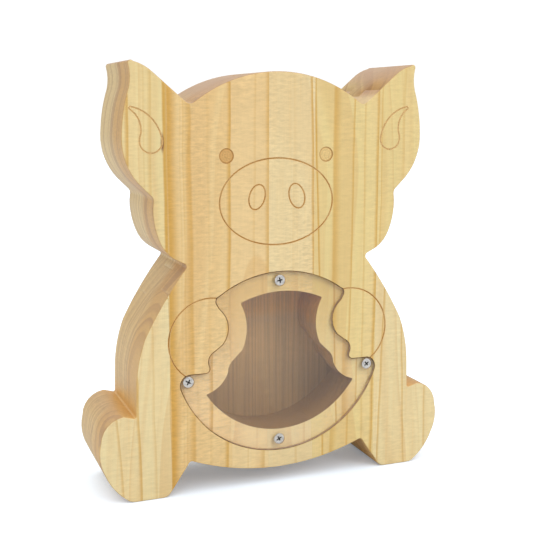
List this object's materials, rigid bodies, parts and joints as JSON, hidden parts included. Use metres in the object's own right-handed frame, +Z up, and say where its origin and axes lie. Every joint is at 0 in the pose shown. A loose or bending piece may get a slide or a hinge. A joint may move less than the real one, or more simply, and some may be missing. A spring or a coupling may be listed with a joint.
{
  "type": "money box",
  "caption": "Pig-shaped wooden money box with a coin slot in the head, a belly chamber and a clear screwed-on window.",
  "frame": {"origin": "on the ground under the middle of the box, half way through its thickness", "axes": "+Z up, the front with the pig's face towards -Y, +X to the right as seen from the front"},
  "size_m": [0.2268, 0.06, 0.2603],
  "materials": {
    "pine_pale": "clear satin lacquer on pale pine",
    "pine_gold": "clear satin lacquer on golden pine",
    "pine_rose": "clear satin lacquer on pinkish pine",
    "acrylic": "clear polished acrylic",
    "zinc": "bright zinc plate"
  },
  "bodies": {
    "wooden_body": {"front_ear_left": "pine_pale", "front_foot_left": "pine_pale", "front_face_right": "pine_pale", "front_belly_right": "pine_pale", "front_cheek_right": "pine_pale", "front_ear_right": "pine_pale", "back_ear_left": "pine_pale", "back_foot_left": "pine_pale", "back_middle_left": "pine_pale", "back_side_right": "pine_pale", "front_cheek_left": "pine_gold", "front_foot_right": "pine_gold", "mid_side_left": "pine_gold", "mid_side_right": "pine_gold", "back_side_left": "pine_gold", "back_ear_right": "pine_gold", "back_foot_right": "pine_gold", "front_face_left": "pine_rose", "front_belly_left": "pine_rose", "mid_ear_left": "pine_rose", "mid_foot_left": "pine_rose", "mid_slot_block": "pine_rose", "mid_belly_block": "pine_rose", "mid_ear_right": "pine_rose", "mid_foot_right": "pine_rose", "back_middle_right": "pine_rose"},
    "window": {"window_panel": "acrylic"},
    "screw_top": {"screw_top": "zinc"},
    "screw_bottom": {"screw_bottom": "zinc"},
    "screw_left": {"screw_left": "zinc"},
    "screw_right": {"screw_right": "zinc"}
  },
  "joints": [
    {"name": "window_out", "type": "slide", "parent": "wooden_body", "child": "window", "axis": [0, -1, 0], "range_m": [0, 0.05]},
    {"name": "screw_top_out", "type": "slide", "parent": "window", "child": "screw_top", "axis": [0, -1, 0], "range_m": [0, 0.02]},
    {"name": "screw_bottom_out", "type": "slide", "parent": "window", "child": "screw_bottom", "axis": [0, -1, 0], "range_m": [0, 0.02]},
    {"name": "screw_left_out", "type": "slide", "parent": "window", "child": "screw_left", "axis": [0, -1, 0], "range_m": [0, 0.02]},
    {"name": "screw_right_out", "type": "slide", "parent": "window", "child": "screw_right", "axis": [0, -1, 0], "range_m": [0, 0.02]}
  ]
}
